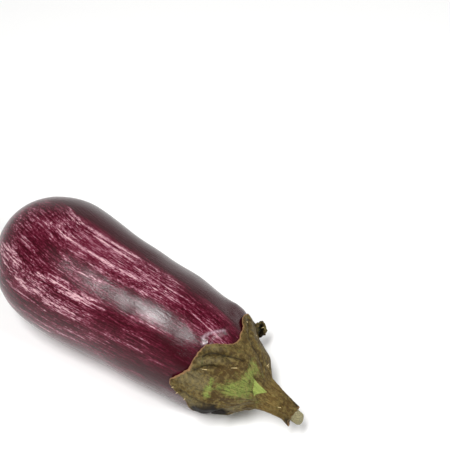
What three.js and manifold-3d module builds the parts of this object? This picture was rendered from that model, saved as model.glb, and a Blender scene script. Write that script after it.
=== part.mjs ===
// A striped eggplant lying on its belly: the fruit, the leafy calyx over its shoulder, and the cut stem.
// Millimetres. +X runs along the fruit towards the stem, +Z is up, and z = 0 is the surface it lies on.
// The origin is the middle of the small flat that the belly rests on, under the fruit's middle.
import * as THREE from "three";
import { mergeVertices } from "three/addons/utils/BufferGeometryUtils.js";
import Module from "manifold-3d";

// Fruit. Its outline is a superellipse whose radius shrinks towards the stem.
const halfLength = 95.5;
const middleRadius = 38.3;
const taper = -0.2; // share of the radius gained from the middle to the stem end
const taperBend = 0.04;
const blossomSquareness = 4.05; // 2 would be an ellipse
const shoulderSquareness = 5.2;
const endRoundness = 1.9;
const oval = 1.03; // width over height
const sway = [3.5, 0.6, -4]; // sideways sway of the middle line: its linear, square and cube shares, mm
const slope = -0.075; // the middle line sinks towards the stem, so the belly runs level
const bellyHeight = 37.45; // from the surface to the middle line, 0.4 mm less than the belly is deep

// Calyx. A rim point is [degrees round the fruit, x]: 0 is the far side, 90 the top, 180 the near side.
const gap = 0.3; // between neighbours
const rimThickness = 0.9;
const backThickness = 1.6; // where the sepals have joined
const flareStart = { x: 84, slope: -0.8 }; // where the calyx leaves the fruit for the neck
const neck = { x: 97, radius: 10.9, slope: -0.35 };
const rim = [
  [12, 65], [14, 63], [21, 63.6], [30, 64.3], [43, 65.4], [57, 70.2], [69, 71.8], [79, 72.9],
  [85, 71.2], [90, 68.3], [96, 64], [103, 60.1], [110, 58.8], [124, 58.5], [137, 55.9], [150, 51],
  [158, 53.3], [166, 61.8], [174, 67], [177, 76], [184, 84.5], [194, 85], [206, 82], [218, 76],
  [231, 66], [239, 60], [245, 57], [251, 60], [257, 66], [267, 76], [276, 78], [288, 70],
  [300, 59], [308, 56], [314, 60], [320, 64], [330, 73], [338, 73], [346, 70], [354, 69],
  [362, 70.5], [368, 75],
];
// Sepal tips that stand off the fruit: degrees round it, half width in degrees, lift in mm
const curls = [
  { at: 150, halfWidth: 24, lift: 1 },
  { at: 245, halfWidth: 22, lift: 1 },
  { at: 308, halfWidth: 22, lift: 3 },
  { at: 354, halfWidth: 14, lift: 5 },
];

// Stem. Its rings are [distance from the neck, radius]; the core stands proud of the bark.
const barkRings = [[0, 10.9], [2, 10.2], [5, 9.3], [9, 8.4], [14, 7.2], [19, 6.2], [21.5, 5.8], [22.5, 5.8]];
const coreRings = [[22.5, 3.9], [26.4, 3.7], [27, 3.2]];
const stemStraight = 10; // leaves the neck square, then turns aside
const stemTurn = { y: -1.2, z: -1.6 }; // how far the cut end lies off the neck's line

// Mesh fineness
const fruitColumns = 72;
const fruitRows = 44;
const calyxColumns = 100;
const liningRows = 11;
const outerRows = 11;
const stemColumns = 24;

// The fruit's mean radius at x
function radiusAt(x) {
  const along = THREE.MathUtils.clamp(x / halfLength, -1, 1);
  const squareness = along < 0 ? blossomSquareness : shoulderSquareness;
  const side = middleRadius * (1 + taper * along + taperBend * along ** 2);
  return side * (1 - Math.abs(along) ** squareness) ** (1 / endRoundness);
}

// A point on an oval ring round the middle line, at an angle from the far side over the top
function ringPoint(x, radius, angle) {
  const along = x / halfLength;
  const swayed = sway[0] * along + sway[1] * along ** 2 + sway[2] * along ** 3;
  return new THREE.Vector3(
    x,
    swayed + radius * Math.sqrt(oval) * Math.cos(angle),
    bellyHeight + slope * x + (radius / Math.sqrt(oval)) * Math.sin(angle),
  );
}

// A turn runs from 0 at the blossom end to 1 at the stem end, with its steps close together at both
function turnAt(x) {
  return Math.acos(-x / halfLength) / Math.PI;
}

function xAt(turn) {
  return -halfLength * Math.cos(Math.PI * turn);
}

// A point off the fruit's skin, the given lift away from it
function skinPoint(turn, angle, lift) {
  const step = 0.002;
  const from = xAt(Math.max(turn - step, 0));
  const to = xAt(Math.min(turn + step, 1));
  const outward = new THREE.Vector2(radiusAt(from) - radiusAt(to), to - from).normalize();
  const x = xAt(turn);
  return ringPoint(x + lift * outward.x, radiusAt(x) + lift * outward.y, angle);
}

function ringOf(columns, pointAt) {
  return Array.from({ length: columns }, (_, column) => pointAt((2 * Math.PI * column) / columns));
}

// A closed body from rings of points that follow each other between two end points
function closedBody(first, rings, last) {
  const columns = rings[0].length;
  const points = [first, ...rings.flat(), last];
  const end = points.length - 1;
  const faces = [];
  for (let column = 0; column < columns; column += 1) {
    const next = (column + 1) % columns;
    faces.push(0, 1 + next, 1 + column);
    for (let ring = 0; ring < rings.length - 1; ring += 1) {
      const near = 1 + ring * columns;
      const far = near + columns;
      faces.push(near + column, near + next, far + next);
      faces.push(near + column, far + next, far + column);
    }
    faces.push(end, end - columns + column, end - columns + next);
  }
  const geometry = new THREE.BufferGeometry().setFromPoints(points);
  geometry.setIndex(faces);
  return geometry;
}

function fruitGeometry() {
  const rings = [];
  for (let row = 1; row < fruitRows; row += 1) {
    rings.push(ringOf(fruitColumns, (angle) => skinPoint(row / fruitRows, angle, 0)));
  }
  return closedBody(ringPoint(-halfLength, 0, 0), rings, ringPoint(halfLength, 0, 0));
}

// Where the rim lies at an angle, from the two rim points on either side of it
function rimAt(angle) {
  const degrees = THREE.MathUtils.radToDeg(angle);
  const turned = degrees < rim[0][0] ? degrees + 360 : degrees;
  const closed = [...rim, [rim[0][0] + 360, rim[0][1]]];
  const next = closed.findIndex(([at]) => at > turned);
  const [fromAt, fromX] = closed[next - 1];
  const [toAt, toX] = closed[next];
  return THREE.MathUtils.mapLinear(turned, fromAt, toAt, fromX, toX);
}

// How far a sepal's tip stands off the fruit, fading out away from the rim
function curlAt(angle, fromRim) {
  const fade = Math.max(1 - 2.2 * fromRim, 0) ** 2;
  let lift = 0;
  for (const curl of curls) {
    const away = THREE.MathUtils.euclideanModulo(THREE.MathUtils.radToDeg(angle) - curl.at + 180, 360) - 180;
    lift += curl.lift * Math.max(1 - (away / curl.halfWidth) ** 2, 0);
  }
  return lift * fade;
}

// The calyx's outside beyond the flare: a cubic from the shoulder to the neck
function flareRadius(x) {
  const length = neck.x - flareStart.x;
  const share = (x - flareStart.x) / length;
  const shoulder = radiusAt(flareStart.x) + gap + backThickness;
  return (
    shoulder * (2 * share ** 3 - 3 * share ** 2 + 1) +
    flareStart.slope * length * (share ** 3 - 2 * share ** 2 + share) +
    neck.radius * (3 * share ** 2 - 2 * share ** 3) +
    neck.slope * length * (share ** 3 - share ** 2)
  );
}

function calyxOutside(angle, fromRim) {
  const x = THREE.MathUtils.lerp(rimAt(angle), neck.x, fromRim);
  if (x > flareStart.x) return ringPoint(x, flareRadius(x), angle);
  const thickness = THREE.MathUtils.lerp(rimThickness, backThickness, Math.min(fromRim * 3, 1));
  return ringPoint(x, radiusAt(x) + gap + thickness + curlAt(angle, fromRim), angle);
}

// The lining comes first, from the shoulder's middle out to the rim, then the outside back to the neck
function calyxGeometry() {
  const rings = [];
  for (let row = liningRows - 1; row >= 0; row -= 1) {
    const fromRim = row / liningRows;
    rings.push(ringOf(calyxColumns, (angle) => {
      const turn = THREE.MathUtils.lerp(turnAt(rimAt(angle)), 1, fromRim);
      return skinPoint(turn, angle, gap + curlAt(angle, fromRim));
    }));
  }
  for (let row = 0; row < outerRows; row += 1) {
    rings.push(ringOf(calyxColumns, (angle) => calyxOutside(angle, row / (outerRows - 1))));
  }
  return closedBody(ringPoint(halfLength + gap, 0, 0), rings, ringPoint(neck.x, 0, 0));
}

function stemGeometry() {
  const length = coreRings.at(-1)[0];
  const start = ringPoint(neck.x, 0, 0).add(new THREE.Vector3(gap, 0, 0));
  const route = new THREE.QuadraticBezierCurve3(
    start,
    start.clone().add(new THREE.Vector3(stemStraight, 0, 0)),
    start.clone().add(new THREE.Vector3(length, stemTurn.y, stemTurn.z)),
  );
  const rings = [...barkRings, ...coreRings].map(([distance, radius]) => {
    const share = distance / length;
    const middle = route.getPointAt(share);
    const forward = route.getTangentAt(share);
    const side = new THREE.Vector3(0, 0, 1).cross(forward).normalize();
    const up = forward.clone().cross(side);
    return ringOf(stemColumns, (angle) => middle.clone()
      .addScaledVector(side, radius * Math.cos(angle))
      .addScaledVector(up, radius * Math.sin(angle)));
  });
  return closedBody(start, rings, route.getPointAt(1));
}

const wasm = await Module();
wasm.setup();

function solidOf(geometry) {
  geometry.deleteAttribute("normal");
  geometry.deleteAttribute("uv");
  const merged = mergeVertices(geometry);
  return new wasm.Manifold(new wasm.Mesh({
    numProp: 3,
    vertProperties: new Float32Array(merged.attributes.position.array),
    triVerts: new Uint32Array(merged.index.array),
  }));
}

// The belly is pressed flat where it would reach below the surface it lies on
function pressedFlat(geometry) {
  const ground = new THREE.BoxGeometry(4 * halfLength, 4 * middleRadius, middleRadius);
  ground.translate(0, 0, -middleRadius / 2);
  const mesh = solidOf(geometry).subtract(solidOf(ground)).getMesh();
  const pressed = new THREE.BufferGeometry();
  pressed.setAttribute("position", new THREE.BufferAttribute(mesh.vertProperties, 3));
  pressed.setIndex(new THREE.BufferAttribute(mesh.triVerts, 1));
  return pressed;
}

function piece(name, geometry, color, roughness) {
  geometry.computeVertexNormals();
  const mesh = new THREE.Mesh(geometry, new THREE.MeshStandardMaterial({ color, roughness, metalness: 0 }));
  mesh.name = name;
  return mesh;
}

const eggplant = new THREE.Group();
eggplant.add(
  piece("fruit", pressedFlat(fruitGeometry()), "#5a1631", 0.3),
  piece("calyx", calyxGeometry(), "#6f6838", 0.7),
  piece("stem", stemGeometry(), "#70592c", 0.75),
);

export default eggplant;
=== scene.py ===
import math

import bpy
import numpy as np
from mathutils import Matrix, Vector, noise


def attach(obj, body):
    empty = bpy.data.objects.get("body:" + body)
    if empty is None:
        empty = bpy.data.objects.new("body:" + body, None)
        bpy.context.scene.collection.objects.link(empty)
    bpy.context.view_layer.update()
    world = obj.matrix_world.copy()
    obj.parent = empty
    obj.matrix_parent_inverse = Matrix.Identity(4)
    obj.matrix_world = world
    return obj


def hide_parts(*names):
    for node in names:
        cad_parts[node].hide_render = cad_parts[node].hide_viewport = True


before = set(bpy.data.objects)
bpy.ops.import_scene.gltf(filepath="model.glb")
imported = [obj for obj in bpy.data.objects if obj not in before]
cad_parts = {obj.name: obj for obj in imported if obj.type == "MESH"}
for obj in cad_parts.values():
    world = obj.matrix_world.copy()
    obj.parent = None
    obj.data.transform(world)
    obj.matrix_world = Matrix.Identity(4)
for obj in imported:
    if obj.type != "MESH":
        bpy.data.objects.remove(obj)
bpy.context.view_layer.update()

# A striped eggplant lying on its belly, with +X along it to the stem. Shapes are in millimetres until
# meshFrom turns them into metres. The camera, lamps and floor are in metres. A place on the skin is its x
# and its angle round the fruit in degrees: 0 is the far side, 90 the top, 180 the near side, 270 the belly.
mm = 0.001


def toLinear(hexColour):
    shares = [int(hexColour[at:at + 2], 16) / 255 for at in (1, 3, 5)]
    return [s / 12.92 if s <= 0.04045 else ((s + 0.055) / 1.055) ** 2.4 for s in shares] + [1.0]


# Gives a node's inputs, by number or name, a value or another node's output
def setInputs(tree, node, inputs):
    for name, value in inputs.items():
        if isinstance(value, bpy.types.NodeSocket):
            tree.links.new(value, node.inputs[name])
        else:
            node.inputs[name].default_value = value


def addNode(tree, kind, inputs, output=0, **settings):
    node = tree.nodes.new("ShaderNode" + kind)
    for name, value in settings.items():
        setattr(node, name, value)
    setInputs(tree, node, inputs)
    return node.outputs[output]


def newMaterial(name):
    material = bpy.data.materials.new(name)
    material.use_nodes = True
    tree = material.node_tree
    return material, tree, tree.nodes["Principled BSDF"]


# A pattern stretched along the grain, in lumps of a width and a length in mm
def grainPattern(tree, grain, size, detail=2.0, shift=0.0):
    width, length = size
    drawn = addNode(tree, "Mapping", {"Vector": grain, "Location": (shift, shift, shift),
                                      "Scale": (1 / width, 1 / width, 1 / length)})
    return addNode(tree, "TexNoise", {"Vector": drawn, "Scale": 1.0, "Detail": detail, "Roughness": 0.55})


# Adds layers up by a recipe, which holds the level to start from and each layer's weight
def mixLayers(tree, layers, recipe):
    total = recipe.get("level", 0.0)
    for name, weight in recipe.items():
        if name != "level":
            total = addNode(tree, "Math", {0: layers[name], 1: weight, 2: total}, operation="MULTIPLY_ADD")
    return total


# Lays one colour over another by a mask, or where the mask climbs from one edge to the other
def coatOver(tree, under, over, mask, edges=None, strength=1.0):
    if edges:
        mask = addNode(tree, "MapRange", {"Value": mask, 1: edges[0], 2: edges[1], 4: strength},
                       interpolation_type="SMOOTHSTEP")
    return addNode(tree, "Mix", {0: mask, 6: under, 7: over}, output=2, data_type="RGBA")


# Reads the marks that a mesh holds. The first is its place in the grain, the others are amounts
def readMarks(tree, grainMark, *amountMarks):
    layers = {mark: addNode(tree, "Attribute", {}, output=2, attribute_name=mark) for mark in amountMarks}
    return addNode(tree, "Attribute", {}, output=1, attribute_name=grainMark), layers


# Gives the shader a colour, a gloss and a surface as uneven as the look says
def coverWith(tree, shader, colour, layers, look):
    bump = addNode(tree, "Bump", {"Strength": look["bumpStrength"], "Distance": look["bumpHeight"] * mm,
                                  "Height": mixLayers(tree, layers, look["bumps"])})
    setInputs(tree, shader, {"Base Color": colour, "Roughness": mixLayers(tree, layers, look["gloss"]),
                             "IOR": look["ior"], "Normal": bump})


# Angles in degrees that part a full turn evenly
def evenTurn(count):
    return np.arange(count) * 360 / count


def smoothStep(low, high, value):
    share = np.clip((value - low) / (high - low), 0, 1)
    return share * share * (3 - 2 * share)


# A curve from one value to another that leaves and arrives with the given slopes
def easeBetween(share, start, startSlope, end, endSlope):
    arrived = share * share * (3 - 2 * share)
    return (start * (1 - arrived) + startSlope * share * (1 - share) ** 2
            + end * arrived - endSlope * share ** 2 * (1 - share))


# A bell round 0 that falls to about a third at the given width
def bell(distance, width):
    return np.exp(-(distance / width) ** 2)


# Soft noise about 0, between roughly -1 and 1, with lumps of the given size
def lumps(points, size, seed):
    flat = points.reshape(-1, 3) / size + seed * 17.3
    values = [noise.noise(Vector(p)) for p in flat]
    return np.array(values).reshape(points.shape[:-1]) * 1.6


def unit(vectors):
    return vectors / np.maximum(np.linalg.norm(vectors, axis=-1, keepdims=True), 1e-9)


# Outward normals of a grid of rows and columns whose columns close on themselves
def gridNormals(grid):
    around = np.roll(grid, -1, axis=1) - np.roll(grid, 1, axis=1)
    return unit(np.cross(around, np.gradient(grid, axis=0)))


# Distance from each point to a line through the given corners
def distanceTo(points, corners):
    nearest = np.full(points.shape[:-1], 1e9)
    for start, end in zip(corners[:-1], corners[1:]):
        run = end - start
        share = np.clip(((points - start) @ run) / (run @ run), 0, 1)
        gap = np.linalg.norm(points - (start + share[..., None] * run), axis=-1)
        nearest = np.minimum(nearest, gap)
    return nearest


# Soft lines painted on a surface, each with its corners, half width and strength
def painted(points, lines, place):
    total = np.zeros(points.shape[:-1])
    for corners, halfWidth, strength in lines:
        total = np.maximum(total, strength * bell(distanceTo(points, place(corners)), halfWidth))
    return total


# Faces of a skin over rings that follow each other, each with the same number of points
def ringFaces(ringCount, columns, wrapRings=False, first=0):
    faces = []
    for ring in range(ringCount if wrapRings else ringCount - 1):
        near = first + ring * columns
        far = first + (ring + 1) % ringCount * columns
        for column in range(columns):
            right = (column + 1) % columns
            faces.append((near + column, near + right, far + right, far + column))
    return faces


# Faces of a tube over rings, closed by two end points that follow the rings
def tubeFaces(ringCount, columns, first=0):
    faces = ringFaces(ringCount, columns, first=first)
    start = first + ringCount * columns
    lastRing = start - columns
    for column in range(columns):
        right = (column + 1) % columns
        faces.append((start, first + right, first + column))
        faces.append((start + 1, lastRing + column, lastRing + right))
    return faces


# Values of every ring as one list, then the means of the first and last ring for the tube's ends
def withEnds(rows):
    flat = rows.reshape(-1, *rows.shape[2:])
    return np.concatenate([flat, rows[:1].mean(axis=1), rows[-1:].mean(axis=1)])


# Makes a piece of the object, with marks for its material to read: an amount or a place for each point
def meshFrom(name, points, faces, material, marks):
    mesh = bpy.data.meshes.new(name)
    mesh.from_pydata((np.asarray(points) * mm).tolist(), [], faces)
    for markName, values in marks.items():
        values = np.asarray(values, np.float32)
        isVector = values.size > len(mesh.vertices)
        kind, field = ("FLOAT_VECTOR", "vector") if isVector else ("FLOAT", "value")
        mesh.attributes.new(markName, kind, "POINT").data.foreach_set(field, values.ravel())
    mesh.shade_smooth()
    mesh.materials.append(material)
    piece = bpy.data.objects.new(name, mesh)
    bpy.context.scene.collection.objects.link(piece)
    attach(piece, "root")
    return piece


view = {
    "azimuth": 33.5,
    "elevation": 58,
    "distance": 0.576,
    "target": (0.0151, 0.0823, 0.0375),
    "lens": 70,
}
studio = {
    # Soft lamps that face the eggplant: place in metres, size across x and y, watts
    "lamps": {
        "overhead": ((0.039, -0.26, 1.05), (0.17, 0.325), 10.2),
        "fill": ((1.1, 0.25, 1.0), (0.35, 0.5), 9.0),
    },
    # Brightness of the room low down and overhead, and the steepness where one gives way to the other
    "horizon": 0.74,
    "ceiling": 0.1,
    "ceilingFrom": (0.15, 0.6),
    "floor": "#fcfcfb",
    "floorReach": 3.0,
    "floorDrop": 0.0002,  # keeps the floor just clear of the belly's flat
}


# Hangs a camera or lamp in the scene, facing the given way
def hang(thing, place, facing):
    thing.location = place
    thing.rotation_mode = "QUATERNION"
    thing.rotation_quaternion = facing.to_track_quat("-Z", "Y")
    bpy.context.scene.collection.objects.link(thing)


def aimCamera():
    turn, rise = math.radians(view["azimuth"]), math.radians(view["elevation"])
    back = Vector((math.sin(turn) * math.cos(rise), -math.cos(turn) * math.cos(rise), math.sin(rise)))
    camera = bpy.data.objects.new("camera", bpy.data.cameras.new("camera"))
    camera.data.lens = view["lens"]
    camera.data.sensor_width = 36
    camera.data.clip_start = 0.01
    hang(camera, Vector(view["target"]) + back * view["distance"], -back)
    bpy.context.scene.camera = camera


def hangLamps():
    for name, (place, size, watts) in studio["lamps"].items():
        lamp = bpy.data.objects.new(name, bpy.data.lights.new(name, "AREA"))
        lamp.data.shape = "RECTANGLE"
        lamp.data.size, lamp.data.size_y = size
        lamp.data.energy = watts
        hang(lamp, place, -Vector(place))


# A room that is bright low down and dim overhead, so that the top of the fruit keeps its deep colour
def paintRoom():
    world = bpy.data.worlds.new("pale room")
    world.use_nodes = True
    tree = world.node_tree
    direction = addNode(tree, "TexCoord", {})
    steepness = addNode(tree, "SeparateXYZ", {"Vector": direction}, output=2)
    start, end = studio["ceilingFrom"]
    glow = addNode(tree, "MapRange", {"Value": steepness, 1: start, 2: end, 3: studio["horizon"],
                                      4: studio["ceiling"]}, interpolation_type="SMOOTHSTEP")
    setInputs(tree, tree.nodes["Background"], {"Strength": glow, "Color": (1, 1, 1, 1)})
    bpy.context.scene.world = world
    bpy.context.scene.view_settings.view_transform = "Standard"


# Matt white paper, rolled smooth. It gives no highlights, only the soft shadow
def mattPaper():
    material, tree, shader = newMaterial("matt white paper")
    setInputs(tree, shader, {"Base Color": toLinear(studio["floor"]), "Roughness": 0.9,
                             "Specular IOR Level": 0.1})
    return material


def layFloor():
    reach = studio["floorReach"]
    corners = [(-reach, -reach, 0), (reach, -reach, 0), (reach, reach, 0), (-reach, reach, 0)]
    mesh = bpy.data.meshes.new("floor")
    mesh.from_pydata(corners, [], [(0, 1, 2, 3)])
    mesh.materials.append(mattPaper())
    floor = bpy.data.objects.new("floor", mesh)
    floor.location.z = -studio["floorDrop"]
    bpy.context.scene.collection.objects.link(floor)


aimCamera()
hangLamps()
paintRoom()
layFloor()
print("camera, lamps, room and floor are set")


fruit = {
    "halfLength": 95.5,
    "middleRadius": 38.3,
    "taper": -0.2,  # share of the radius gained from the middle to the stem end
    "taperBend": 0.04,
    # How squarely it closes at each end
    "blossomSquareness": 4.05,
    "shoulderSquareness": 5.2,
    "endRoundness": 1.9,
    "oval": 1.03,  # width over height
    "sway": (3.5, 0.6, -4.0),  # sideways bend of the middle line, by rising powers of x
    "slope": -0.075,
    "middleHeight": 37.45,
    "columns": 384,
    "rows": 220,
    # Height and size of the skin's broad unevenness and of its ripples
    "wave": (0.55, 34),
    "ripple": (0.07, 9),
    # Shallow folds that run out from under the calyx, and the x over which they rise
    "folds": {"count": 11, "height": 0.22, "wander": 60, "from": (38, 62)},
    # Welts where the flesh swells against the calyx: corners as (x, angle), then height and width
    "welts": [
        ([(60.5, 99.5), (59.4, 95), (59, 91), (61, 85), (64, 77)], 0.7, 2.0),
        ([(50, 110), (51, 98)], 0.04, 3.5), ([(56, 30), (60, 48)], 0.4, 2.6),
        ([(50, 200), (58, 215), (60, 230)], 0.5, 3.0), ([(60, 262), (66, 284)], 0.5, 2.6),
    ],
    # Broad swellings and hollows that the calyx follows too: (x, angle), height and width
    "bulges": [
        ((21, 100), 1.5, 28), ((72, 202), 1.6, 13), ((-60, 22), 1.2, 16), ((24, 20), 1.0, 12),
        ((-20, 15), -1.2, 14), ((60, 24), 2.2, 9), ((79.5, 25), -4.1, 9), ((76, 356), -2.4, 9),
        ((70, 176), -1.0, 9), ((82, 198), -3.2, 9), ((43, 101), -0.17, 6),
    ],
    # A painted highlight: a pale line beside the first welt, standing for the glint on it.
    # Corners as (x, angle), half width and strength
    "paintedHighlights": [([(56, 98.5), (57.6, 91.3), (60, 85.6), (63.5, 78)], 0.65, 0.55)],
    "poleShift": (10.5, -9.0),  # how far the blossom scar lies off the middle line, y and z
    "poleBend": -42,  # the grain starts to lean to the scar here
    "grainRadius": 40,
    "scar": {"radius": 3.2, "depth": 0.9, "lipHeight": 0.25, "lipWidth": 3, "crumbs": 0.15},
    "flatSoftness": 0.12,  # how softly the belly's flat runs out
    # Pale streaks that stand out: corners as (x, angle), then half width and strength
    "streaks": [
        ([(-53, 84), (-47, 88), (-36, 88.5), (-10, 87.5)], 0.9, 1.0), ([(-8, 87), (15, 86)], 0.8, 0.5),
        ([(20, 82), (34, 83.5), (50, 85.5), (71, 90)], 0.5, 0.75),
        ([(-57, 66), (-48, 70.5), (-38, 72.5), (-5, 71.5)], 0.6, 0.8),
        ([(-58, 60), (-52, 65), (-43, 68.5), (-25, 67.5), (-4, 65.5)], 1.1, 1.0),
        ([(10, 66), (30, 66)], 1.0, 0.45), ([(22, 77), (42, 75.5)], 0.6, 0.7),
        ([(-22, 97), (0, 95.5), (16, 94)], 0.9, 0.7), ([(-42, 102), (-20, 106)], 1.2, 0.6),
        ([(-67, 109), (-54, 111)], 1.4, 0.8), ([(-18, 104), (-8, 104)], 1.4, 0.7),
        ([(-72, 137), (-62, 140), (-50, 141.5), (-25, 140)], 0.9, 1.0),
        ([(-82, 133), (-72, 132.5), (-60, 131)], 1.0, 0.9),
        ([(-46, 126), (-38, 124.5), (-24, 123.5)], 1.0, 0.9), ([(-30, 128.5), (-12, 127)], 0.8, 0.9),
        ([(-24, 125), (-12, 122), (-5, 119)], 1.0, 0.9), ([(-16, 123.5), (0, 123)], 0.8, 0.8),
        ([(-36, 145), (-14, 144.5)], 0.8, 0.7), ([(6, 142), (30, 140)], 0.9, 0.8),
        ([(34, 144), (44, 141.5)], 0.8, 0.5), ([(14, 129.5), (31, 128)], 0.8, 0.6),
        ([(9, 116.5), (31, 114)], 0.7, 0.5), ([(-70, 121), (-60, 125)], 1.0, 0.6),
        ([(-50, 134), (-38, 133)], 0.9, 0.7), ([(-20, 156), (0, 155)], 0.7, 0.5),
        ([(-80, 145), (-64, 150), (-34, 151.5)], 0.7, 0.85),
        ([(-70, 158), (-38, 160.5), (-6, 159)], 0.7, 0.75),
        ([(-52, 168), (-16, 168.5), (14, 166)], 0.8, 0.7), ([(-24, 150), (10, 149)], 0.7, 0.7),
        ([(-64, 174), (-30, 176)], 0.8, 0.65), ([(-4, 172), (34, 169)], 0.7, 0.6),
        ([(22, 183), (66, 178)], 0.8, 0.6), ([(8, 195), (58, 190)], 0.9, 0.6),
        ([(5, 166), (24, 163)], 0.8, 0.4), ([(20, 155), (42, 154.5)], 0.6, 0.4),
        ([(-60, 214), (-20, 210), (10, 212)], 1.0, 0.9), ([(-40, 236), (4, 233), (30, 236)], 1.2, 0.8),
        ([(-10, 251), (36, 249)], 0.9, 0.7), ([(-66, 262), (-22, 268)], 1.2, 0.8),
        ([(-30, 292), (28, 288)], 1.1, 0.9), ([(-58, 312), (-12, 316)], 1.0, 0.9),
        ([(2, 330), (44, 326)], 1.2, 0.7), ([(-46, 344), (0, 347), (20, 345)], 1.0, 0.8),
        ([(-26, 8), (18, 12)], 0.9, 0.5), ([(-48, 51), (-30, 51.5)], 0.7, 0.4),
    ],
    # Where the purple is thinner: x from and to, angle from and to, how much. The edges are how softly the
    # zones end, in mm and in degrees
    "palerZones": [
        ((-66, 30), (64, 101), 0.62), ((-78, 0), (98, 118), 0.56), ((-86, -6), (117, 147), 0.72),
        ((-8, 44), (108, 146), 0.42), ((28, 75), (66, 108), 0.35), ((-92, -56), (60, 128), 0.5),
        ((-30, 24), (62, 96), 1.04), ((-84, 30), (147, 180), 0.26), ((-84, 40), (196, 252), 0.6),
        ((-74, 46), (262, 354), 0.55),
    ],
    "palerEdges": (20, 7),
    # Where the pale shows through evenly, like mist, instead of in flecks
    "evenZones": [((-34, 14), (62, 94), 1.3), ((-10, 30), (96, 110), 0.5)],
    "evenEdges": (14, 6),
    # And where the purple is deeper, partly its own and partly painted shade: the far-side zone is the
    # shadow of neighbouring eggplants, and the zone low on the near side by the calyx is shade under it
    "deeperAndShadedZones": [
        ((-62, -34), (93, 111), 0.3), ((-62, 100), (10, 60), 0.7), ((0, 100), (112, 146), 0.25),
        ((20, 100), (150, 205), 0.3),
    ],
    "deeperAndShadedEdges": (12, 6),
}


def radiusAt(x):
    along = np.clip(np.asarray(x, float) / fruit["halfLength"], -1, 1)
    squareness = np.where(along < 0, fruit["blossomSquareness"], fruit["shoulderSquareness"])
    side = fruit["middleRadius"] * (1 + fruit["taper"] * along + fruit["taperBend"] * along ** 2)
    return side * (1 - np.abs(along) ** squareness) ** (1 / fruit["endRoundness"])


# How far the middle line lies to the side, and its height
def middleAt(x):
    along = np.asarray(x, float) / fruit["halfLength"]
    swayed = sum(share * along ** (power + 1) for power, share in enumerate(fruit["sway"]))
    return swayed, fruit["middleHeight"] + fruit["slope"] * np.asarray(x, float)


# A point at an angle on the oval ring of the given mean radius round the middle line
def ringPoint(x, radius, degrees):
    angle = np.radians(degrees)
    swayed, height = middleAt(x)
    wide, tall = radius * math.sqrt(fruit["oval"]), radius / math.sqrt(fruit["oval"])
    sideways, upwards = swayed + wide * np.cos(angle), height + tall * np.sin(angle)
    return np.stack(np.broadcast_arrays(x, sideways, upwards), -1)


# Points every few millimetres along a line drawn on the fruit through (x, angle) corners
def onSkin(corners, lift=0.0, steps=6):
    shares = np.linspace(0, len(corners) - 1, (len(corners) - 1) * steps + 1)
    xs = np.interp(shares, range(len(corners)), [c[0] for c in corners])
    degrees = np.interp(shares, range(len(corners)), [c[1] for c in corners])
    return ringPoint(xs, radiusAt(xs) + lift, degrees)


# How far round bumps lift a surface: each has its place as (x, angle), a height and a width
def swelling(points, bumps):
    lift = np.zeros(points.shape[:-1])
    for (x, degrees), rise, width in bumps:
        centre = ringPoint(x, radiusAt(x), degrees)
        lift += rise * bell(np.linalg.norm(points - centre, axis=-1), width)
    return lift


# A zone's amount inside it, fading to nothing over its edges in x and in angle
def inZone(x, degrees, zone, edges):
    ranges, amount = zone[:2], zone[2]
    turnStart = ranges[1][0] - 90
    turned = (degrees - turnStart) % 360 + turnStart
    for value, (low, high), edge in zip((x, turned), ranges, edges):
        rising = smoothStep(low - edge, low + edge, value)
        amount = amount * rising * (1 - smoothStep(high - edge, high + edge, value))
    return amount


# Each point's distance from the blossom scar and its place in the grain, which runs from there to the stem.
# The scar lies off the middle line, so the grain leans over to it.
def grainOf(grid, x):
    swayed, height = middleAt(x)
    lean = np.clip((fruit["poleBend"] - x) / (fruit["halfLength"] + fruit["poleBend"]), 0, 1)
    sideways = grid[..., 1] - swayed - fruit["poleShift"][0] * lean
    upwards = grid[..., 2] - height - fruit["poleShift"][1] * lean
    reach = np.hypot(sideways, upwards)
    turn = np.arctan2(upwards, sideways)
    spread = fruit["grainRadius"] + (reach - fruit["grainRadius"]) * smoothStep(0.35, 1, lean)
    steps = np.hypot(np.diff(x[:, 0]), np.diff(radiusAt(x[:, 0])))
    travel = np.concatenate([[0], np.cumsum(steps)])[:, None] + 0 * x
    return reach, np.stack([spread * np.cos(turn), spread * np.sin(turn), travel], -1)


# Height of the welts, folds, swellings and scar over the smooth fruit
def unevenness(grid, x, degrees, reach, scar):
    (wave, waveSize), (ripple, rippleSize) = fruit["wave"], fruit["ripple"]
    lift = wave * lumps(grid, waveSize, 1) + ripple * lumps(grid, rippleSize, 2)
    folds = fruit["folds"]
    folding = np.cos(np.radians(degrees * folds["count"] + folds["wander"] * lumps(grid, 40, 3)))
    lift += folds["height"] * folding * smoothStep(*folds["from"], x)
    for corners, rise, width in fruit["welts"]:
        lift += rise * bell(distanceTo(grid, onSkin(corners)), width)
    lift += swelling(grid, fruit["bulges"])
    shape = fruit["scar"]
    lip = bell(reach - 2.2 * shape["radius"], shape["lipWidth"]) * (x < 0)
    return lift + shape["lipHeight"] * lip + scar * (shape["crumbs"] * lumps(grid, 0.9, 4) - shape["depth"])


# Where the purple thins or deepens, where pale shows evenly or in streaks, and the painted highlight
def paintMarks(grid, x, degrees):
    pale = np.zeros_like(x)
    for zone in fruit["palerZones"]:
        pale = np.maximum(pale, inZone(x, degrees, zone, fruit["palerEdges"]))
    for zone in fruit["deeperAndShadedZones"]:
        # The deeper zones take purple off, some as painted shade
        pale -= inZone(x, degrees, zone, fruit["deeperAndShadedEdges"])
    even = sum(inZone(x, degrees, zone, fruit["evenEdges"]) for zone in fruit["evenZones"])
    return {"pale": pale, "even": even, "bold": painted(grid, fruit["streaks"], onSkin),
            "paintedHighlight": painted(grid, fruit["paintedHighlights"], onSkin)}


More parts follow.
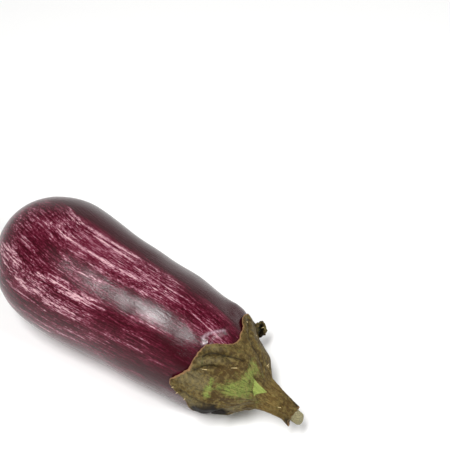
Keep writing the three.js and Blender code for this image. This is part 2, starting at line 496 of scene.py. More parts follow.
def growFruit():
    half, rows, columns = fruit["halfLength"], fruit["rows"], fruit["columns"]
    turns = np.linspace(0, 1, rows + 2)[1:-1]
    x, degrees = np.meshgrid(-half * np.cos(np.pi * turns), evenTurn(columns), indexing="ij")
    grid = ringPoint(x, radiusAt(x), degrees)
    reach, grain = grainOf(grid, x)
    scar = bell(reach, fruit["scar"]["radius"]) * (x < 0)
    lifted = grid + gridNormals(grid) * unevenness(grid, x, degrees, reach, scar)[..., None]
    low = lifted[..., 2]
    # Pressed flat where it lies
    lifted[..., 2] = 0.5 * (low + np.sqrt(low ** 2 + fruit["flatSoftness"] ** 2)) - 0.001
    points = np.concatenate([lifted.reshape(-1, 3), [ringPoint(-half, 0, 0), ringPoint(half, 0, 0)]])
    marks = {"grain": grain, "scar": scar, **paintMarks(grid, x, degrees)}
    marks = {name: withEnds(values) for name, values in marks.items()}
    piece = meshFrom("eggplant_fruit", points, tubeFaces(rows, columns), waxySkin(), marks)
    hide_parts("fruit")


skin = {
    # From full purple over white flesh to no purple, where only the pale wall of the fruit shows
    "tints": [(0.0, "#35030f"), (0.3, "#571226"), (0.52, "#753747"), (0.74, "#a47180"), (1.0, "#d0a8ac")],
    "corky": "#9a7a5c",
    "corkyFrom": (0.35, 0.8),  # share of the scar's depth over which it turns corky
    # Colour of the painted highlight by the calyx
    "highlightTint": "#c3aeb8",
    # Width and length in mm of what each pattern draws along the grain
    "thread": (1.9, 46),
    "dash": (0.8, 9),
    "cell": (0.5, 1.8),
    "cloud": (7, 24),
    "fine": (0.5, 1.1),
    "threadWidth": 0.06,
    # Ragged edges: shakes to the mm, and how far they reach in mm, twice across the grain and along it
    "shakes": (0.9, 0.9, 0.35),
    "shakeReach": (0.8, 0.8, 2.0),
    # What each look is mixed from: its level, then the weight of each pattern and mark
    "texture": {"level": -1.75, "threads": 0.3, "dashes": 1.6, "cells": 1.7},
    "contrast": {"level": 0.5, "pale": 0.9, "bold": 0.4, "even": -0.5},
    "base": {"level": -0.46, "pale": 0.4, "bold": 0.45, "clouds": 1.1},
    "gloss": {"level": 0.125, "fine": 0.2},
    "bumps": {"fine": 0.7, "cells": 0.3, "dashes": 1.05},
    "bumpStrength": 0.4,
    "bumpHeight": 0.25,
    "ior": 1.38,
}


# Eggplant skin, grown and waxy: purple cells over white flesh under a thin clear cuticle. It gives the eye
# deep colour with pale ragged streaks along the grain, and a soft grey gloss.
# Painted shade darkens its far side and its underside by the calyx, and one pale line is a painted
# highlight
def waxySkin():
    material, tree, shader = newMaterial("waxy eggplant skin")
    grain, layers = readMarks(tree, "grain", "pale", "bold", "even", "scar", "paintedHighlight")

    # Ragged edges come from shaking the grain sideways
    shakes = addNode(tree, "Mapping", {"Vector": grain, "Scale": skin["shakes"]})
    shaken = addNode(tree, "TexNoise", {"Vector": shakes, "Scale": 1.0, "Detail": 2.0}, output=1)
    sideways = addNode(tree, "VectorMath", {0: shaken, 1: (0.5, 0.5, 0.5)}, operation="SUBTRACT")
    sideways = addNode(tree, "VectorMath", {0: sideways, 1: skin["shakeReach"]}, operation="MULTIPLY")
    ragged = addNode(tree, "VectorMath", {0: grain, 1: sideways}, operation="ADD")

    # Threads are drawn where a long pattern crosses its middle
    crossing = addNode(tree, "Math", {0: grainPattern(tree, ragged, skin["thread"]), 1: 0.5},
                       operation="SUBTRACT")
    crossing = addNode(tree, "Math", {0: crossing}, operation="ABSOLUTE")
    layers["threads"] = addNode(tree, "MapRange", {"Value": crossing, 1: 0.0, 2: skin["threadWidth"],
                                                   3: 1.0, 4: 0.0})
    layers["dashes"] = grainPattern(tree, ragged, skin["dash"], shift=31.0)
    layers["cells"] = grainPattern(tree, ragged, skin["cell"], shift=57.0)
    layers["clouds"] = grainPattern(tree, grain, skin["cloud"], shift=12.0)
    layers["fine"] = grainPattern(tree, grain, skin["fine"], shift=5.0)

    paleness = addNode(tree, "Math", {0: mixLayers(tree, layers, skin["texture"]),
                                      1: mixLayers(tree, layers, skin["contrast"]),
                                      2: mixLayers(tree, layers, skin["base"])}, operation="MULTIPLY_ADD")
    ramp = addNode(tree, "ValToRGB", {"Fac": paleness})
    stops = ramp.node.color_ramp.elements
    stops[0].color = toLinear(skin["tints"][0][1])
    stops[1].color = toLinear(skin["tints"][-1][1])
    for place, tint in skin["tints"][1:-1]:
        stops.new(place).color = toLinear(tint)
    colour = coatOver(tree, ramp, toLinear(skin["corky"]), layers["scar"], skin["corkyFrom"])
    # A painted highlight: a pale line by the calyx for the lamp's glint on the welt
    colour = coatOver(tree, colour, toLinear(skin["highlightTint"]), layers["paintedHighlight"])
    coverWith(tree, shader, colour, layers, skin)
    return material


growFruit()
print("the fruit is grown")


calyx = {
    "gap": 0.3,
    "thickness": (0.8, 1.6),  # at the rim and further back
    # The x where the calyx leaves the shoulder and where it meets the stem, and its slope at each
    "flareStart": 84,
    "flareSlope": -0.8,
    "neck": 97,
    "neckRadius": 10.9,
    "neckSlope": -0.35,
    "columns": 560,
    "rows": 150,
    "innerRowStep": 8,
    # The rim all the way round, as (angle, x). Sepal tips are where x is least
    "rim": [
        (14, 67), (17, 66.5), (21, 66.1), (30, 65.3), (43, 65.2), (50, 67.2), (57, 70.2), (69, 71.8),
        (79, 72.9), (85, 71.2), (90, 68.3), (96, 64), (103, 60.1), (110, 58.8), (117, 58.7), (124, 58.5),
        (130, 58), (137, 55.9), (145, 53.1), (150, 51), (155, 51.8), (158, 53.3), (161, 55.9), (166, 61.8),
        (174, 65.2), (179, 67.3), (179.5, 70), (175, 73.5), (174.5, 77), (177, 81), (182, 85.5),
        (190, 87), (200, 86), (208, 82), (218, 76), (231, 66), (239, 60), (245, 57), (251, 60), (257, 66),
        (267, 76), (276, 78), (288, 70), (300, 59), (308, 56), (314, 60), (320, 64), (330, 73),
        (333, 76), (338, 70), (344, 59), (351, 50), (358, 49), (364, 56), (369, 74), (371, 73),
        (372, 69),
    ],
    # How far the sepals stand off the fruit: (x, angle), lift and width
    "lifts": [((51, 150), 0.8, 9), ((67, 176), 2.6, 8), ((57, 245), 1.2, 12), ((56, 308), 2.6, 13)],
    # Creases: corners as (x, angle), depth and half width
    "creases": [
        ([(62, 113), (64.2, 106.8), (67.8, 102.9), (72.2, 99.8)], 1.5, 1.6),
        ([(72.2, 99.8), (76.7, 94.9), (81.4, 90.1)], 0.9, 1.2),
        ([(61.2, 129), (63.6, 124.1), (65.5, 119.4), (69.1, 115.1), (72, 113.4)], 1.5, 1.3),
        ([(90.2, 97), (91.6, 110), (92.9, 122)], 0.3, 0.5),
        ([(59, 155.8), (66, 158.2), (71.8, 161.6), (78.8, 162.7)], 1.3, 1.2),
        ([(68, 36), (71.4, 46.7), (76.9, 60.7), (81.7, 64.9), (86.8, 63.3), (90.2, 60.6)], 1.3, 1.3),
        ([(84.5, 87), (88, 90), (91.5, 94)], 0.4, 0.7),
        ([(89.4, 129), (91.4, 123.5), (94.2, 122.1), (98, 121.3)], 0.7, 0.9),
        ([(64, 245), (76, 241), (86, 234)], 0.9, 1.3), ([(62, 306), (74, 304), (86, 298)], 1.0, 1.4),
        ([(72, 228), (82, 220)], 0.8, 1.1), ([(72, 322), (82, 330)], 0.8, 1.1),
    ],
    # One sepal's tip has rolled back on itself
    "roll": {"angle": 356, "halfWidth": 21, "x": 73, "radius": 5.6, "crumple": 1.3, "tightening": 0.32},
    # Height of the fine wrinkles and the broad buckles
    "wrinkles": 0.36,
    "buckles": 0.7,
    # How far small and larger nibbles cut into the rim, their size and seed
    "nibbles": [(0.35, 2.2, 5), (0.3, 5.5, 6)],
    # Width of the corky line on the rim, and how much broader it gets at one sepal's angle
    "corkWidth": 0.6,
    "corkExtra": 1.3,
    "corkAngle": 137,
    "fibres": (24, 1.2),  # radius that the fibres are laid round, and their stretch along the fruit
    "barkFrom": (93, 104),  # x over which the skin turns to bark
    "smoothFrom": (93, 97),  # x over which wrinkles run out at the neck
    # Ridges up the sepals' middles: angle, height and half width in degrees
    "ridges": [(38, 0.7, 9), (84, 0.9, 8), (128, 0.8, 12), (176, 0.9, 9), (232, 0.9, 12), (300, 0.9, 12),
               (345, 0.7, 9)],
    "ridgeHollow": 0.35,  # depth between the ridges
    # Where a sepal's skin has torn off, a three-cornered patch is still fresh: its corners as (x, angle)
    "torn": [(90.6, 97), (93.8, 129), (100.8, 100)],
    "tornSoftness": 0.35,
}

# Patches of other colours: corners as (x, angle), half width and amount
sepalPatches = {
    "green": [
        ([(72.3, 128.6), (73.1, 134.3), (72.8, 141)], 1.4, 1.0),
        ([(73, 138), (72.6, 144.4), (73, 148)], 2.6, 1.0),
        ([(76.5, 133.3), (80.2, 131.3), (83.6, 129.1)], 2.6, 0.62),
        ([(82.5, 129.5), (86, 128), (90.2, 124)], 4.4, 1.3),
        ([(90, 120), (87.5, 115), (87.6, 104), (88, 92)], 3.8, 1.0),
        ([(90.5, 98), (91.5, 110), (92.5, 120)], 2.6, 0.95),
        ([(84.6, 83), (88.3, 80.2), (93, 76)], 2.0, 0.6), ([(92, 136), (97, 142)], 3.0, 0.5),
        ([(58, 357), (67, 355)], 4.0, 0.7), ([(78, 226), (86, 236)], 4.5, 0.8),
        ([(74, 300), (86, 312)], 4.5, 0.7),
    ],
    "fresh": [
        ([(72.9, 137), (72.6, 144.4), (73, 147.5)], 1.8, 0.55),
        ([(85.5, 82), (88.3, 80.2), (92, 77)], 1.1, 0.45), ([(86, 169), (91, 165), (95, 158)], 1.2, 0.35),
    ],
    "brown": [
        ([(74.5, 113), (80, 104)], 5.5, 0.9), ([(81, 92), (84.4, 90.6)], 2.6, 0.8),
        ([(76, 150), (84, 146)], 5.0, 0.7), ([(84, 70), (90, 66)], 5.0, 0.4),
        ([(112, 60), (117, 110), (115, 160)], 7.5, 0.9), ([(70, 270), (84, 262)], 8.0, 0.7),
        ([(88, 200), (94, 330)], 7.0, 0.6),
    ],
    "grey": [
        ([(59, 137), (68, 138)], 8.0, 1.0), ([(63, 118), (70, 107), (75, 101)], 4.0, 0.7),
        ([(62, 103), (68, 96)], 3.0, 0.6), ([(62, 162), (70, 168)], 4.0, 1.0),
        ([(84, 170), (89, 167), (95, 160)], 2.6, 1.1), ([(58, 245), (64, 245)], 7.0, 0.7),
        ([(60, 305), (66, 305)], 7.0, 0.6),
    ],
    # Painted shade: near black where the margin tucks under, standing for the deep shadow below it
    "shade": [([(71, 173), (74, 172), (78, 172), (82, 175), (84, 182), (82, 196), (80, 210), (75, 219)],
               5.4, 1.0)],
}


# A closed curve through (angle, x) corners, as evenly spaced points
def smoothLoop(corners, count):
    around = np.array(corners, float)
    turn = np.array([360, 0])
    padded = np.concatenate([around[-2:] - turn, around, around[:3] + turn])
    fine = []
    for start in range(2, len(around) + 2):
        before, here, after, beyond = padded[start - 1:start + 3]
        for share in np.arange(12) / 12:
            fine.append(easeBetween(share, here, (after - before) / 2, after, (beyond - here) / 2))
    fine = np.array(fine + [fine[0] + turn])
    mmPerDegree = 0.55
    steps = np.hypot(np.diff(fine[:, 0]) * mmPerDegree, np.diff(fine[:, 1]))
    travel = np.concatenate([[0], np.cumsum(steps)])
    at = np.arange(count) / count * travel[-1]
    return np.interp(at, travel, fine[:, 0]), np.interp(at, travel, fine[:, 1])


# The same angles smoothed round the loop, which gives each column its place at the neck
def evenedAngles(angles, reach):
    count = len(angles)
    weights = bell(np.arange(-reach, reach + 1), 0.5 * reach)
    padded = np.concatenate([angles[-reach:] - 360, angles, angles[:reach] + 360])
    return np.array([padded[at:at + 2 * reach + 1] @ weights for at in range(count)]) / weights.sum()


# Radius of the calyx's middle layer beyond the shoulder, where it flares in to the neck
def flareRadius(x, thickness):
    start, neck = calyx["flareStart"], calyx["neck"]
    length = neck - start
    share = np.clip((x - start) / length, 0, 1)
    shoulder = radiusAt(start) + calyx["gap"] + thickness / 2
    return easeBetween(share, shoulder, calyx["flareSlope"] * length,
                       calyx["neckRadius"] - thickness / 2, calyx["neckSlope"] * length)


# Height of the ridges that run up the sepals' middles and on along the stem
def ridgeLift(degrees, strength=1.0):
    lift = -calyx["ridgeHollow"]
    for at, rise, halfWidth in calyx["ridges"]:
        lift = lift + rise * bell((degrees - at + 180) % 360 - 180, halfWidth)
    return strength * lift


# A place in the fibres, which run along the sepals and the stem
def fibreAt(degrees, x):
    radius, stretch = calyx["fibres"]
    across = radius * np.cos(np.radians(degrees)), radius * np.sin(np.radians(degrees))
    return np.stack(np.broadcast_arrays(*across, x * stretch), -1)


# Points at (x, angle) corners over the fruit, or over the calyx beyond its shoulder
def onCalyx(corners, lift=0.0):
    x, degrees = np.array(corners, float).T
    radius = np.where(x < calyx["flareStart"], radiusAt(x), flareRadius(x, 0))
    return ringPoint(x, radius + lift, degrees)


# How much of each colour of patch there is at each point
def patchMarks(points, lift):
    marks = {}
    for tone, patches in sepalPatches.items():
        marks[tone] = painted(points, patches, lambda corners: onCalyx(corners, lift))
    return marks


# 1 where a sepal's skin has torn off and 0 outside, over the softness of the torn edge
def tornSkin(points):
    first, second, third = onCalyx(calyx["torn"])
    face = unit(np.cross(second - first, third - first))
    depth = np.full(points.shape[:-1], 1e9)
    for start, end in ((first, second), (second, third), (third, first)):
        depth = np.minimum(depth, (points - start) @ unit(np.cross(face, end - start)))
    near = 1 - smoothStep(4, 6, np.abs((points - first) @ face))
    return smoothStep(-calyx["tornSoftness"], calyx["tornSoftness"], depth) * near


# How far the sepals' leathery skin has turned to the stem's bark, along an uneven border
def woodiness(points):
    return smoothStep(*calyx["barkFrom"], points[..., 0] + 2.5 * lumps(points, 4, 15))


# The sheet before it creases: rows from the rim up to the neck, each with a column for every rim point
def spreadSheet():
    columns = calyx["columns"]
    rimAngle, rimX = smoothLoop(calyx["rim"], columns)
    turn = np.radians(rimAngle)
    rimLine = np.stack([30 * np.cos(turn), 30 * np.sin(turn), rimX], -1)
    for depth, size, seed in calyx["nibbles"]:
        rimX = rimX + depth * lumps(rimLine, size, seed)
    neckAngle = evenedAngles(rimAngle, columns // 8)
    share = (np.linspace(0, 1, calyx["rows"]) ** 1.05)[:, None]  # a little closer set at the rim
    return share, rimX + (calyx["neck"] - rimX) * share, rimAngle, neckAngle


# Lift of the sheet over its smooth shape, and how much painted shade each point gets from the creases
def creaseSheet(base, share, x, degrees, fibre):
    lift = ridgeLift(degrees) * smoothStep(0.25, 0.8, share) + swelling(base, calyx["lifts"])
    creaseShade = np.zeros_like(x)
    for corners, depth, halfWidth in calyx["creases"]:
        # A groove between two low banks, with painted shade in it: a dark line, a fainter shade round it
        gap = distanceTo(base, onSkin(corners, lift=1.5)) / halfWidth
        lift += depth * (0.5 * bell(gap - 2.4, 1.3) - bell(gap, 1))
        creaseShade = np.maximum(creaseShade, np.maximum(0.55 * bell(gap, 1.8), bell(gap, 0.8)))
    fromRim = x - x[0]
    beforeNeck = 1 - smoothStep(*calyx["smoothFrom"], x)
    stretched = fibre * np.array([1, 1, 0.3])
    wrinkles = lumps(stretched, 2.6, 7) + 0.5 * lumps(stretched, 1.2, 8)
    lift += calyx["wrinkles"] * wrinkles * smoothStep(0, 2.5, fromRim) * beforeNeck
    lift += calyx["buckles"] * (lumps(base, 9, 9) + 0.35) * smoothStep(0, 8, fromRim) * beforeNeck
    return np.maximum(lift, -0.25 - 0.9 * smoothStep(1, 6, fromRim)), creaseShade


# Rolls the tip of one sepal back on itself, painting shade on it, and gives which columns have rolled
def rollTip(sheet, creaseShade, base, outward, x, rimAngle):
    roll = calyx["roll"]
    away = np.abs((rimAngle - roll["angle"] + 180) % 360 - 180)
    rolling = (away < roll["halfWidth"]) & (x[0] < roll["x"])
    crumple = roll["crumple"] * lumps(base, 3.2, 21)
    for column in np.nonzero(rolling)[0]:
        rolled = np.nonzero(x[:, column] < roll["x"])[0]
        root = rolled[-1]
        forward = unit(sheet[root, column] - sheet[root + 1, column])
        size = roll["radius"] * (1 - 0.8 * (away[column] / roll["halfWidth"]) ** 2)
        turn = (x[root, column] - x[rolled, column]) / size
        tighter = size * np.exp(-roll["tightening"] * turn) + crumple[rolled, column] * np.minimum(turn, 1)
        sheet[rolled, column] = (sheet[root, column] + (tighter * np.sin(turn))[:, None] * forward
                                 + (size - tighter * np.cos(turn))[:, None] * outward[root, column])
        # Painted shade on the rolled part, darker as it turns under
        creaseShade[rolled, column] = np.maximum(creaseShade[rolled, column], 0.9 * np.minimum(turn, 1))
    return rolling


def growCalyx():
    rows, columns = calyx["rows"], calyx["columns"]
    share, x, rimAngle, neckAngle = spreadSheet()
    degrees = rimAngle + (neckAngle - rimAngle) * share
    fromRim = x - x[0]
    rimThickness, backThickness = calyx["thickness"]
    thickness = rimThickness + (backThickness - rimThickness) * smoothStep(0, 9, fromRim)
    radius = np.where(x < calyx["flareStart"], radiusAt(x) + calyx["gap"] + thickness / 2,
                      flareRadius(x, thickness))
    base = ringPoint(x, radius, degrees)
    outward = gridNormals(base)
    base = base + outward * swelling(base, fruit["bulges"])[..., None]
    fibre = fibreAt(neckAngle, x)
    lift, creaseShade = creaseSheet(base, share, x, degrees, fibre)
    sheet = base + outward * lift[..., None]
    rolling = rollTip(sheet, creaseShade, base, outward, x, rimAngle)

    # The shell's rings run down the inside from the neck, round the rim and back up the outside
    halfThick = gridNormals(sheet) * (thickness / 2)[..., None]
    outer, inner = sheet + halfThick, sheet - halfThick
    edge = sheet[0] + unit(sheet[0] - sheet[1]) * rimThickness * 0.4
    tuck = (outer[-1] + inner[-1]) / 2 + np.array([0.5, 0, 0])
    innerRows = [*range(0, rows - 1, calyx["innerRowStep"]), rows - 1][::-1]
    points = np.concatenate([inner[innerRows], edge[None], outer, tuck[None]]).reshape(-1, 3)
    order = [*innerRows, 0, *range(rows), rows - 1]
    ringNumber = np.arange(len(order))[:, None]
    outside = ringNumber > len(innerRows)

    # A corky line on the rim, broadest on one sepal and nearly gone where the tip rolls back
    corkWidth = calyx["corkWidth"] + calyx["corkExtra"] * bell(rimAngle - calyx["corkAngle"], 12)
    cork = np.exp(-fromRim / corkWidth) * np.where(rolling, 0.2, 1.0)
    edgeCork = np.where(rolling, 0.1, 1.0) * np.where(ringNumber < len(innerRows), 0.5, 1.0)
    marks = {tone: amounts[order] for tone, amounts in patchMarks(base, 1.5).items()}
    marks["fresh"] = np.maximum(marks["fresh"], tornSkin(base)[order] * outside)
    marks["fibre"] = fibre[order]
    marks["rim"] = np.where(outside, cork[order], edgeCork)
    # Painted shade from the creases and the rolled tip, on the outside only
    marks["creaseShade"] = creaseShade[order] * outside
    marks["woody"] = woodiness(base)[order] * outside
    faces = ringFaces(len(order), columns, wrapRings=True)
    piece = meshFrom("eggplant_calyx", points, faces, leafyMaterial("wilting sepal"), marks)
    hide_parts("calyx")
    return piece


sepal = {
    # The "shade" and crease tones are painted shade: the shadow under the tucked margin and in creases
    "tones": {
        "olive": "#433310", "khaki": "#5f4e26", "bark": "#5a4317", "barkPale": "#7c6736",
        "brown": "#46320c", "grey": "#675c3e", "green": "#74803b", "fresh": "#97a556",
        "freshDeep": "#7f9044", "shade": "#120c07", "pore": "#2c210d", "fleck": "#8d7c47",
        "rim": "#8b6846", "creaseShade": "#1f1706", "speck": "#35240f", "pith": "#a59e7a",
        "pithRing": "#6d6546",
    },
    # Width and length in mm of the fibres, the mottling and the fine grain
    "fibre": (0.6, 11),
    "mottle": (2.6, 5),
    "grain": (0.7, 1.3),
    # Size of the pores and flecks and the distance between specks, in mm
    "pores": 0.85,
    "flecks": 2.0,
    "specks": 2.4,
    "breakUp": {"level": -1.6, "mottle": 1.6, "fine": 1.6},
    # Where one tone gives way to another along a pattern
    "mottleEdges": (0.38, 0.62),
    "freshEdges": (0.42, 0.62),
    "pithEdges": (0.4, 0.62),
    # Coats laid over each other: a tone, what its mask is mixed from, the mask's edges and its strength
    "coats": [
        ("grey", {"grey": 1, "breakUp": 1}, (0.15, 0.95), 1.0),
        ("brown", {"brown": 1, "breakUp": 1}, (0.15, 0.95), 1.0),
        ("green", {"green": 1, "breakUp": 1}, (0.15, 0.95), 1.0),
        # Dark fibres, in the same dark as the painted crease shade
        ("creaseShade", {"hairs": 1, "fine": 0.6}, (0.76, 1.0), 0.55),
        ("pore", {"pores": 1}, (0.48, 0.7), 0.42),
        ("fleck", {"flecks": 1}, (0.45, 0.7), 0.38),
        ("speck", {"specks": 1}, (0.2, 0.1), 0.6),
        ("fresh", {"fresh": 1, "breakUp": 0.5}, (0.25, 1.0), 0.9),
        # Painted shade in the creases, the rolled tip and the stem's folds near its lip
        ("creaseShade", {"creaseShade": 1}, (0.2, 0.95), 0.92),
        ("rim", {"rim": 1, "breakUp": 0.5}, (0.4, 0.85), 1.0),
        # Painted shadow under the tucked margin
        ("shade", {"shade": 1, "breakUp": 0.25}, (0.2, 0.85), 1.0),
    ],
    "bumps": {"hairs": 0.7, "flecks": 0.6},
    "bumpStrength": 0.7,
    "bumpHeight": 0.6,
    "gloss": {"level": 0.7},
    "ior": 1.33,
}


# Sepal and stem skin, dried after picking: leathery and fibrous. It gives a dull olive brown with fibres
# along it, painted shade in creases and under the tucked margin, green where fresh and a corky tan rim.
def leafyMaterial(madeOf):
    material, tree, shader = newMaterial(madeOf)
    fibre, layers = readMarks(tree, "fibre", *sepalPatches, "rim", "creaseShade", "woody", "pith")
    layers["hairs"] = grainPattern(tree, fibre, sepal["fibre"], detail=3.0)
    layers["mottle"] = grainPattern(tree, fibre, sepal["mottle"], detail=4.0, shift=13.0)
    layers["fine"] = grainPattern(tree, fibre, sepal["grain"], shift=29.0)
    layers["breakUp"] = mixLayers(tree, layers, sepal["breakUp"])
    place = addNode(tree, "TexCoord", {}, output=3)
    for name, detail in (("pores", 2.0), ("flecks", 3.0)):
        layers[name] = addNode(tree, "TexNoise", {"Vector": place, "Scale": 1 / (sepal[name] * mm),
                                                  "Detail": detail})
    layers["specks"] = addNode(tree, "TexVoronoi", {"Vector": fibre, "Scale": 1 / sepal["specks"]})

    tones = {name: toLinear(hexColour) for name, hexColour in sepal["tones"].items()}
    skinTone = coatOver(tree, tones["olive"], tones["khaki"], layers["mottle"], sepal["mottleEdges"])
    barkTone = coatOver(tree, tones["bark"], tones["barkPale"], layers["mottle"], sepal["mottleEdges"])
    tones["fresh"] = coatOver(tree, tones["fresh"], tones["freshDeep"], layers["hairs"],
                              sepal["freshEdges"])
    tones["pith"] = coatOver(tree, tones["pithRing"], tones["pith"], layers["fine"], sepal["pithEdges"])
    colour = coatOver(tree, skinTone, barkTone, layers["woody"])
    for tone, recipe, edges, strength in sepal["coats"]:
        colour = coatOver(tree, colour, tones[tone], mixLayers(tree, layers, recipe), edges, strength)
    colour = coatOver(tree, colour, tones["pith"], layers["pith"])
    coverWith(tree, shader, colour, layers, sepal)
    return material


calyxPiece = growCalyx()
print("the calyx is grown")


stem = {
    # Distance from the neck and radius: bark first, then the woody core that stands proud of it
    "bark": [(0, 10.9), (2, 10.2), (5, 9.3), (9, 8.4), (14, 7.2), (19, 6.2), (21.5, 5.8), (22.6, 5.8)],
    "core": [(22.6, 3.9), (24.5, 3.8), (26.6, 3.6), (27, 3.2)],
    "straight": 10,  # how far it keeps to the fruit's line
    "turn": (-1.2, -1.6),  # how far its end lies off that line, y and z
    "columns": 160,
    "barkRings": 110,
    # Angle and width in degrees of a hook that stands out of the bark's lip, and of two strips of painted
    # shade near the lip: one on its far upper side and one in a crevice
    "lipMarks": [(203, 20), (32, 20), (175, 35)],
    "hookReach": (2.0, 1.6),  # out and onward
    "lipRaggedness": 1.3,
    "roughness": ((0.32, 2.2, 11), (0.16, 1.0, 12)),  # height and size of the bark's lumps, and their seed
    # The cut inside the lip: share of the lip's size, distance onward, and how corky it is
    "cut": [(0.93, 0.15, 0.9), (0.8, -0.5, 0.5), (0.68, -1.3, 0.2)],
    "coreRaggedness": 0.25,
    "coreTilt": (0.9, 0.3),
    "faceRings": (0.75, 0.5, 0.25),
    "faceRoughness": 0.15,
}


# The stem's middle at a distance from the neck, and the ways to its side, up and onward
def stemRoute(distance):
    length = stem["core"][-1][0]
    start = ringPoint(np.array(float(calyx["neck"])), 0.0, 0.0)
    bendAt = start + np.array([stem["straight"], 0, 0])
    end = start + np.array([length, *stem["turn"]])
    share = distance / length
    middle = (1 - share) ** 2 * start + 2 * share * (1 - share) * bendAt + share ** 2 * end
    onward = unit((1 - share) * (bendAt - start) + share * (end - bendAt))
    side = unit(np.cross([0, 0, 1], onward))
    return middle, side, np.cross(onward, side), onward


# A ring round the stem, with a radius and a push onward for each of its angles
def stemRing(distance, radii, push, angles):
    middle, side, up, onward = stemRoute(distance)
    spokes = np.cos(angles)[:, None] * side + np.sin(angles)[:, None] * up
    return middle + radii[:, None] * spokes + push[:, None] * onward


# Soft noise that meets itself round a ring: how lumpy it is, and the level at which it is read
def ringNoise(angles, spread, level):
    ways = zip(spread * np.cos(angles), spread * np.sin(angles))
    return np.array([noise.noise(Vector((*way, level))) for way in ways])


# The bark from the neck to its lip: its rings, their fibres and how much painted shade each point gets
def growBark(degrees):
    angles = np.radians(degrees)
    distances = np.linspace(0, stem["bark"][-1][0], stem["barkRings"])
    hook, topShade, creviceShade = (bell(degrees - at, width) for at, width in stem["lipMarks"])
    hookOut, hookOn = stem["hookReach"]
    ragged = stem["lipRaggedness"] * ringNoise(angles, 2.2, 3.1)
    rings, folds = [], []
    for distance in distances:
        share = distance / distances[-1]
        atLip = smoothStep(0.82, 1, share)
        radii = np.interp(distance, *zip(*stem["bark"])) + ridgeLift(degrees, 1 - 0.75 * share)
        rings.append(stemRing(distance, radii + hookOut * hook * atLip, (ragged + hookOn * hook) * atLip,
                              angles))
        # Painted shade near the lip: a strip on the far upper side, a crevice and a band at the lip
        folds.append(0.8 * topShade * smoothStep(0.6, 0.85, share)
                     + (0.3 + 0.5 * creviceShade) * smoothStep(0.82, 0.97, share))
    rings = np.array(rings)
    fibres = fibreAt(degrees, calyx["neck"] + distances[:, None])
    stretched = fibres * np.array([1, 1, 0.25])
    bumps = sum(height * lumps(stretched, size, seed) for height, size, seed in stem["roughness"])
    bumps *= smoothStep(0, 1.5, distances)[:, None]
    return rings + gridNormals(rings) * bumps[..., None], fibres, folds


def growStem():
    columns = stem["columns"]
    degrees = evenTurn(columns)
    angles = np.radians(degrees)
    rings = []

    # Each ring has its points and fibres, then how much of it is pith, corky edge and painted shade
    def addRing(points, fibre, pith=0.0, edge=0.0, shadeInFold=0.0):
        rings.append((points, fibre, *(np.full(columns, amount) for amount in (pith, edge, shadeInFold))))

    bark, fibres, folds = growBark(degrees)
    neckMiddle = stemRoute(0)[0]
    # The bark's foot is tucked away inside the calyx
    addRing(neckMiddle + (bark[0] - neckMiddle) * 0.85 + np.array([-1.2, 0, 0]), fibres[0], shadeInFold=folds[0])
    edges = 0.5 * smoothStep(0.98, 1, np.arange(len(bark)) / (len(bark) - 1))
    for ring, fibre, edge, shadeInFold in zip(bark, fibres, edges, folds):
        addRing(ring, fibre, edge=edge, shadeInFold=shadeInFold)
    lip = bark[-1]
    lipMiddle = lip.mean(axis=0)
    for inset, sink, edge in stem["cut"]:
        cutRing = lipMiddle + (lip - lipMiddle) * inset + np.array([sink, 0, 0])
        # The cut is painted shade where it is not corky
        addRing(cutRing, fibres[-1], pith=0.1, edge=edge, shadeInFold=1 - edge)
    for distance, radius in stem["core"]:
        radii = radius + stem["coreRaggedness"] * ringNoise(angles, 3, 9.0)
        tilt = stem["coreTilt"][0] * np.sin(angles) + stem["coreTilt"][1] * np.cos(2 * angles)
        tilted = distance > stem["core"][0][0] + 1
        addRing(stemRing(distance, radii, -tilt * tilted, angles), fibreAt(degrees, distance), pith=1.0)
    face = rings[-1][0]
    faceMiddle = face.mean(axis=0)
    for inset in stem["faceRings"]:
        ring = faceMiddle + (face - faceMiddle) * inset
        ring[:, 0] += stem["faceRoughness"] * np.array([noise.noise(Vector(p) * 1.3) for p in ring])
        addRing(ring, rings[-1][1] * inset, pith=1.0)

    points, fibre, pith, edge, shadeInFold = (withEnds(np.array(values)) for values in zip(*rings))
    marks = patchMarks(points, 0.0)
    marks["fresh"] = np.maximum(marks["fresh"], tornSkin(points))
    marks.update({"fibre": fibre, "pith": pith, "rim": edge, "creaseShade": shadeInFold, "woody": woodiness(points)})
    faces = tubeFaces(len(rings), columns)
    piece = meshFrom("eggplant_stem", points, faces, leafyMaterial("dry stem bark"), marks)
    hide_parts("stem")
    return piece


stemPiece = growStem()
print("the stem is grown")


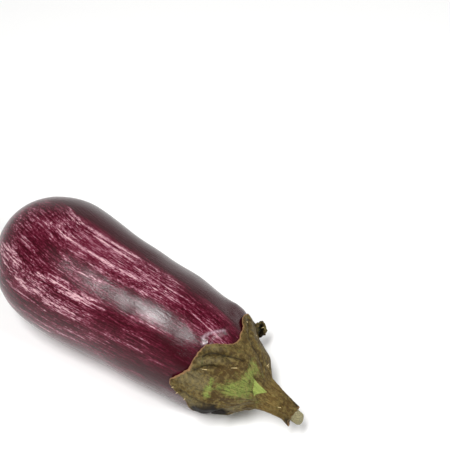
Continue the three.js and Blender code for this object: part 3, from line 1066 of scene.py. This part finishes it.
prickle = {
    # Short spines on the calyx and stem: (x, angle), length, lean to the tips and lean round the fruit
    "places": [
        ((67.6, 120.9), 3.2, 0.9, 0.4), ((81, 103.4), 3.8, 0.9, 0.5), ((71.3, 44), 2.8, 0.9, 0.1),
        ((75, 7), 1.8, 0.5, -0.6), ((79.5, 33), 1.8, 0.8, 0.1), ((93.4, 48), 1.9, 0.2, 0.0),
        ((94, 44), 1.6, 0.3, 0.0), ((113, 120), 1.8, 0.5, 0.2), ((54.5, 155), 1.2, 0.3, 0.4),
        ((58, 160), 1.2, 0.3, 0.4), ((63, 164), 1.2, 0.3, 0.4), ((68, 240), 2.0, 0.8, 0.2),
        ((78, 228), 2.2, 0.8, 0.2), ((70, 306), 2.0, 0.9, -0.2), ((83, 300), 2.2, 0.8, 0.2),
        ((80, 262), 1.6, 0.6, 0.1), ((88, 210), 2.0, 0.6, 0.3), ((88, 340), 1.8, 0.6, -0.2),
    ],
    "sides": 8,
    # Share of the length and radius, from a foot that is sunk in the skin up to near the tip
    "rings": [(-0.1, 0.26), (0.25, 0.22), (0.6, 0.15), (0.9, 0.07)],
    "rise": 0.25,  # lean away from the skin
    "bend": 0.15,  # share of the length that the tip bends up
    "straw": "#b49a5e",
    "paleStraw": "#e0cf9c",
    "cloudSize": 1.11,
    "roughness": 0.4,
}


def growPrickles(*pieces):
    sides, shape = prickle["sides"], prickle["rings"]
    skins = np.array([vertex.co for piece in pieces for vertex in piece.data.vertices]) / mm
    outwards = np.array([vertex.normal for piece in pieces for vertex in piece.data.vertices])
    points, faces = [], []
    for (x, degrees), length, lean, slant in prickle["places"]:
        nearest = np.argmin(np.linalg.norm(skins - onCalyx([(x, degrees)], 4.0), axis=1))
        foot, up = skins[nearest], outwards[nearest]
        around = np.array([0, -math.sin(math.radians(degrees)), math.cos(math.radians(degrees))])
        way = unit(prickle["rise"] * up + np.array([-lean, 0, 0]) + slant * around)
        side = unit(np.cross(way, [0, 0.3, 1]))
        across = np.cross(way, side)
        bend = up * prickle["bend"] * length
        faces += tubeFaces(len(shape), sides, first=len(points))
        for share, radius in shape:
            for turn in np.radians(evenTurn(sides)):
                spoke = math.cos(turn) * side + math.sin(turn) * across
                points.append(foot + way * (share * length) + bend * share + radius * spoke)
        points += [foot - way * 0.3 * length, foot + way * length + bend]
    meshFrom("calyx_prickles", points, faces, prickleHorn(), {})


# Dry horn of the prickles: pale straw, a little shiny
def prickleHorn():
    material, tree, shader = newMaterial("straw prickle horn")
    place = addNode(tree, "TexCoord", {}, output=3)
    clouds = addNode(tree, "TexNoise", {"Vector": place, "Scale": 1 / (prickle["cloudSize"] * mm),
                                        "Detail": 1.0})
    colour = coatOver(tree, toLinear(prickle["straw"]), toLinear(prickle["paleStraw"]), clouds)
    setInputs(tree, shader, {"Base Color": colour, "Roughness": prickle["roughness"]})
    return material


growPrickles(calyxPiece, stemPiece)
print("the prickles are set")
